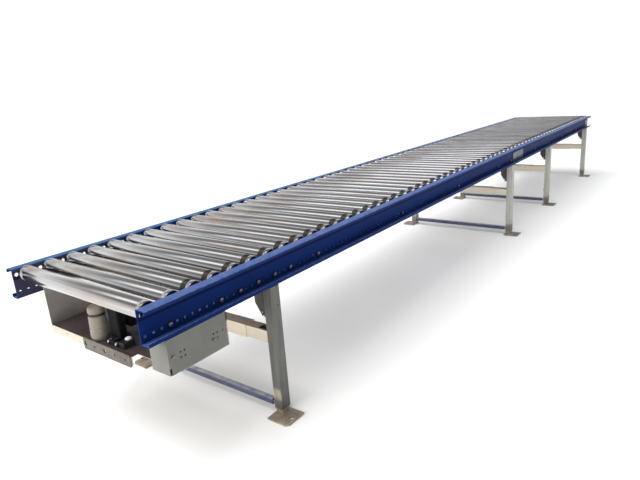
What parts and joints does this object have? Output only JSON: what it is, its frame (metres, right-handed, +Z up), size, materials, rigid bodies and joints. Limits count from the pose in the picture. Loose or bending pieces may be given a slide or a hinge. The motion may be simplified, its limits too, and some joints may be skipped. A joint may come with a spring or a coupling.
{
  "type": "roller conveyor",
  "caption": "Long straight roller conveyor with blue perforated C-section rails, steel rollers, H-shaped galvanised stands and a belt drive in a tray under one end.",
  "frame": {"origin": "on the floor, under the middle of the bed", "axes": "+X along the bed from the drive end to the tail end, +Y to the left rail, +Z up"},
  "size_m": [4.95, 0.803, 0.542],
  "materials": {
    "rail_blue": "satin royal blue paint, chipped along the edges",
    "roller_steel": "zinc-plated turned tube, lengthwise stains",
    "black_plastic": "moulded black plastic",
    "bright_steel": "drawn and turned steel",
    "galvanised": "galvanised sheet with a dull spangle and brown stains",
    "zinc_bolt": "zinc-plated hexagon hardware",
    "leg_galvanised": "galvanised tube, streaked",
    "foot_galvanised": "galvanised plate stained brown",
    "bracket_dark": "dark worn paint",
    "navy_paint": "dusty navy paint",
    "motor_beige": "light beige enamel",
    "gear_black": "black stove enamel",
    "clamp_bright": "bright plated strap",
    "white_plastic": "white moulding",
    "bearing_cast": "cast flange bearing",
    "belt_rubber": "black belt",
    "guide_plastic": "dark green low-friction plastic",
    "guard_paint": "grey enamel on sheet steel",
    "rubber_black": "black rubber"
  },
  "bodies": {
    "frame": {"beam_inners": "galvanised", "beam_sleeves": "galvanised", "belt_guides": "guide_plastic", "bevel_gear_case": "gear_black", "drive_tray": "galvanised", "far_roller_caps": "black_plastic", "far_roller_tubes": "roller_steel", "feet": "foot_galvanised", "frame_bolts": "zinc_bolt", "gear_base": "gear_black", "gear_head": "gear_black", "guard_belt": "belt_rubber", "guard_box": "guard_paint", "guard_cover": "guard_paint", "guard_grommet": "rubber_black", "guard_screws": "zinc_bolt", "hole_plate": "galvanised", "idler_pins": "zinc_bolt", "junction_block": "black_plastic", "junction_cap": "white_plastic", "left_rail_far": "rail_blue", "left_rail_near": "rail_blue", "leg_brackets": "bracket_dark", "legs": "leg_galvanised", "lower_crossbars": "navy_paint", "motor_collar": "motor_beige", "motor_housing": "motor_beige", "pipe_clamps": "clamp_bright", "right_rail_far": "rail_blue", "right_rail_near": "rail_blue", "roller_axles": "bright_steel", "roller_belt": "belt_rubber", "shaft_bearings": "bearing_cast", "splice_plates": "galvanised", "tie_rods": "bright_steel"},
    "drive_shaft": {"drive_shaft": "bright_steel", "belt_pulley": "bright_steel", "guard_drive_pulley": "bright_steel"},
    "take_off": {"take_off_pulley": "bright_steel"},
    "upper_snub": {"upper_snub_pulley": "bright_steel"},
    "lower_snub": {"lower_snub_pulley": "bright_steel"},
    "tail_pulley": {"tail_pulley": "bright_steel"},
    "roller_01": {"roller_01": "roller_steel"},
    "roller_02": {"roller_02": "roller_steel"},
    "roller_03": {"roller_03": "roller_steel"},
    "roller_04": {"roller_04": "roller_steel"},
    "roller_05": {"roller_05": "roller_steel"},
    "roller_06": {"roller_06": "roller_steel"},
    "roller_07": {"roller_07": "roller_steel"},
    "roller_08": {"roller_08": "roller_steel"},
    "roller_09": {"roller_09": "roller_steel"},
    "roller_10": {"roller_10": "roller_steel"},
    "roller_11": {"roller_11": "roller_steel"},
    "roller_12": {"roller_12": "roller_steel"},
    "roller_13": {"roller_13": "roller_steel"},
    "roller_14": {"roller_14": "roller_steel"},
    "roller_15": {"roller_15": "roller_steel"},
    "roller_16": {"roller_16": "roller_steel"},
    "roller_17": {"roller_17": "roller_steel"},
    "roller_18": {"roller_18": "roller_steel"}
  },
  "joints": [
    {"name": "roller_01_spin", "type": "hinge", "parent": "frame", "child": "roller_01", "pos_m": [-2.4375, 0, 0.517], "axis": [0, 1, 0], "continuous": true},
    {"name": "roller_02_spin", "type": "hinge", "parent": "frame", "child": "roller_02", "pos_m": [-2.3625, 0, 0.517], "axis": [0, 1, 0], "continuous": true},
    {"name": "roller_03_spin", "type": "hinge", "parent": "frame", "child": "roller_03", "pos_m": [-2.2875, 0, 0.517], "axis": [0, 1, 0], "continuous": true},
    {"name": "roller_04_spin", "type": "hinge", "parent": "frame", "child": "roller_04", "pos_m": [-2.2125, 0, 0.517], "axis": [0, 1, 0], "continuous": true},
    {"name": "roller_05_spin", "type": "hinge", "parent": "frame", "child": "roller_05", "pos_m": [-2.1375, 0, 0.517], "axis": [0, 1, 0], "continuous": true},
    {"name": "roller_06_spin", "type": "hinge", "parent": "frame", "child": "roller_06", "pos_m": [-2.0625, 0, 0.517], "axis": [0, 1, 0], "continuous": true},
    {"name": "roller_07_spin", "type": "hinge", "parent": "frame", "child": "roller_07", "pos_m": [-1.9875, 0, 0.517], "axis": [0, 1, 0], "continuous": true},
    {"name": "roller_08_spin", "type": "hinge", "parent": "frame", "child": "roller_08", "pos_m": [-1.9125, 0, 0.517], "axis": [0, 1, 0], "continuous": true},
    {"name": "roller_09_spin", "type": "hinge", "parent": "frame", "child": "roller_09", "pos_m": [-1.8375, 0, 0.517], "axis": [0, 1, 0], "continuous": true},
    {"name": "roller_10_spin", "type": "hinge", "parent": "frame", "child": "roller_10", "pos_m": [-1.7625, 0, 0.517], "axis": [0, 1, 0], "continuous": true},
    {"name": "roller_11_spin", "type": "hinge", "parent": "frame", "child": "roller_11", "pos_m": [-1.6875, 0, 0.517], "axis": [0, 1, 0], "continuous": true},
    {"name": "roller_12_spin", "type": "hinge", "parent": "frame", "child": "roller_12", "pos_m": [-1.6125, 0, 0.517], "axis": [0, 1, 0], "continuous": true},
    {"name": "roller_13_spin", "type": "hinge", "parent": "frame", "child": "roller_13", "pos_m": [-1.5375, 0, 0.517], "axis": [0, 1, 0], "continuous": true},
    {"name": "roller_14_spin", "type": "hinge", "parent": "frame", "child": "roller_14", "pos_m": [-1.4625, 0, 0.517], "axis": [0, 1, 0], "continuous": true},
    {"name": "roller_15_spin", "type": "hinge", "parent": "frame", "child": "roller_15", "pos_m": [-1.3875, 0, 0.517], "axis": [0, 1, 0], "continuous": true},
    {"name": "roller_16_spin", "type": "hinge", "parent": "frame", "child": "roller_16", "pos_m": [-1.3125, 0, 0.517], "axis": [0, 1, 0], "continuous": true},
    {"name": "roller_17_spin", "type": "hinge", "parent": "frame", "child": "roller_17", "pos_m": [-1.2375, 0, 0.517], "axis": [0, 1, 0], "continuous": true},
    {"name": "roller_18_spin", "type": "hinge", "parent": "frame", "child": "roller_18", "pos_m": [-1.1625, 0, 0.517], "axis": [0, 1, 0], "continuous": true},
    {"name": "drive_shaft_spin", "type": "hinge", "parent": "frame", "child": "drive_shaft", "pos_m": [-2.273, 0, 0.3865], "axis": [0, 1, 0], "continuous": true},
    {"name": "take_off_spin", "type": "hinge", "parent": "frame", "child": "take_off", "pos_m": [-2.385, 0, 0.3865], "axis": [0, 1, 0], "continuous": true},
    {"name": "upper_snub_spin", "type": "hinge", "parent": "frame", "child": "upper_snub", "pos_m": [-2.289, 0, 0.4742], "axis": [0, 1, 0], "continuous": true},
    {"name": "lower_snub_spin", "type": "hinge", "parent": "frame", "child": "lower_snub", "pos_m": [-2.227, 0, 0.4295], "axis": [0, 1, 0], "continuous": true},
    {"name": "tail_pulley_spin", "type": "hinge", "parent": "frame", "child": "tail_pulley", "pos_m": [2.325, 0, 0.46685], "axis": [0, 1, 0], "continuous": true}
  ],
  "couplings": [
    {"joint": "roller_04_spin", "follows": "roller_03_spin", "ratio": 1},
    {"joint": "roller_05_spin", "follows": "roller_03_spin", "ratio": 1},
    {"joint": "roller_06_spin", "follows": "roller_03_spin", "ratio": 1},
    {"joint": "roller_07_spin", "follows": "roller_03_spin", "ratio": 1},
    {"joint": "roller_08_spin", "follows": "roller_03_spin", "ratio": 1},
    {"joint": "roller_09_spin", "follows": "roller_03_spin", "ratio": 1},
    {"joint": "roller_10_spin", "follows": "roller_03_spin", "ratio": 1},
    {"joint": "roller_11_spin", "follows": "roller_03_spin", "ratio": 1},
    {"joint": "roller_12_spin", "follows": "roller_03_spin", "ratio": 1},
    {"joint": "roller_13_spin", "follows": "roller_03_spin", "ratio": 1},
    {"joint": "roller_14_spin", "follows": "roller_03_spin", "ratio": 1},
    {"joint": "roller_15_spin", "follows": "roller_03_spin", "ratio": 1},
    {"joint": "roller_16_spin", "follows": "roller_03_spin", "ratio": 1},
    {"joint": "roller_17_spin", "follows": "roller_03_spin", "ratio": 1},
    {"joint": "roller_18_spin", "follows": "roller_03_spin", "ratio": 1},
    {"joint": "drive_shaft_spin", "follows": "roller_03_spin", "ratio": -0.89286},
    {"joint": "take_off_spin", "follows": "roller_03_spin", "ratio": -0.89286},
    {"joint": "upper_snub_spin", "follows": "roller_03_spin", "ratio": -2.0833},
    {"joint": "lower_snub_spin", "follows": "roller_03_spin", "ratio": 2.0833},
    {"joint": "tail_pulley_spin", "follows": "roller_03_spin", "ratio": -1.3889}
  ]
}
